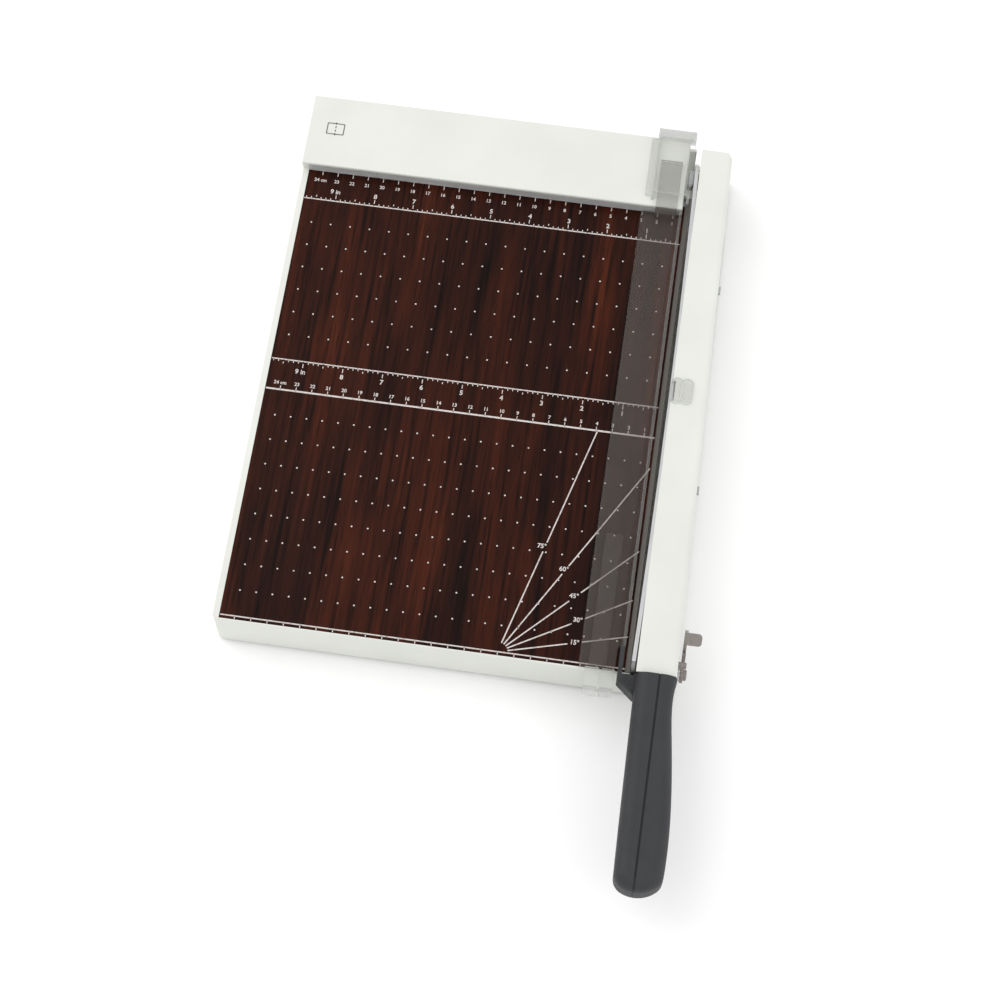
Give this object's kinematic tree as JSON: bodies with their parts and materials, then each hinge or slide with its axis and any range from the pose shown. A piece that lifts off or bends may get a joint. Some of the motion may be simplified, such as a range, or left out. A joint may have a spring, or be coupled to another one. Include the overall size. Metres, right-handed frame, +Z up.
{
  "type": "guillotine paper cutter",
  "caption": "Desktop guillotine paper cutter: printed wood-look board, rear fence, clear guard and a hinged blade arm with a grip and swing latch.",
  "frame": {"origin": "middle of the whole footprint, handle included, on the surface it stands on", "axes": "+Z up, +Y towards the rear fence, +X towards the cutting side; the grip points to -Y"},
  "size_m": [0.294, 0.5036, 0.0545],
  "materials": {
    "white_shell": "white satin moulded plastic",
    "white_arm": "white powder-coated sheet metal",
    "walnut": "dark walnut laminate with white printed grid",
    "clear_guard": "clear acrylic, glossy",
    "blade_steel": "ground blade steel",
    "rail_steel": "thin satin steel strip",
    "structure_steel": "zinc-plated steel",
    "bed_aluminium": "extruded aluminium",
    "fastener_zinc": "zinc-plated steel fastener",
    "nickel": "satin nickel plate",
    "bronze": "sintered bronze",
    "charcoal_grip": "charcoal fine-textured plastic",
    "black_rubber": "black rubber",
    "plate_steel": "dark grey coated sheet steel"
  },
  "bodies": {
    "base": {"base_shell": "white_shell", "board_panel": "walnut", "bottom_plate": "plate_steel", "rubber_feet": "black_rubber", "foot_screws": "fastener_zinc", "fence_cover": "white_shell", "fence_rail": "rail_steel", "fence_screws": "fastener_zinc", "blade_bed": "bed_aluminium", "bed_screws": "fastener_zinc", "fixed_blade": "blade_steel", "fixed_blade_screws": "fastener_zinc", "pivot_bracket": "structure_steel", "bracket_screws": "fastener_zinc", "pivot_bolt": "fastener_zinc", "pivot_springs": "blade_steel", "pivot_nut": "fastener_zinc", "arm_bumper": "black_rubber", "rear_bracket": "clear_guard", "latch_screw": "nickel", "latch_spring": "blade_steel"},
    "arm": {"moving_blade": "blade_steel", "blade_screws": "fastener_zinc", "blade_spacers": "fastener_zinc", "arm_channel": "structure_steel", "arm_cover": "white_arm", "cover_screws": "fastener_zinc", "handle_tang": "structure_steel", "tang_screws": "fastener_zinc", "handle_left": "charcoal_grip", "handle_right": "charcoal_grip", "handle_screws": "fastener_zinc", "pivot_bush": "bronze", "guide_clip": "clear_guard", "catch_stud": "nickel"},
    "guard": {"guard_plate": "clear_guard", "guard_fin": "clear_guard", "guard_tabs": "clear_guard", "press_pad": "clear_guard"},
    "latch": {"latch_lever": "nickel"}
  },
  "joints": [
    {"name": "arm_hinge", "type": "hinge", "parent": "base", "child": "arm", "pos_m": [0.1065, 0.223, 0.038], "axis": [-1, 0, 0], "range_deg": [0, 60]},
    {"name": "guard_lift", "type": "slide", "parent": "base", "child": "guard", "axis": [0, 0, 1], "range_m": [0, 0.0025]},
    {"name": "latch_swing", "type": "hinge", "parent": "base", "child": "latch", "pos_m": [0.1375, -0.109, 0.022], "axis": [1, 0, 0], "range_deg": [0, 60]}
  ]
}
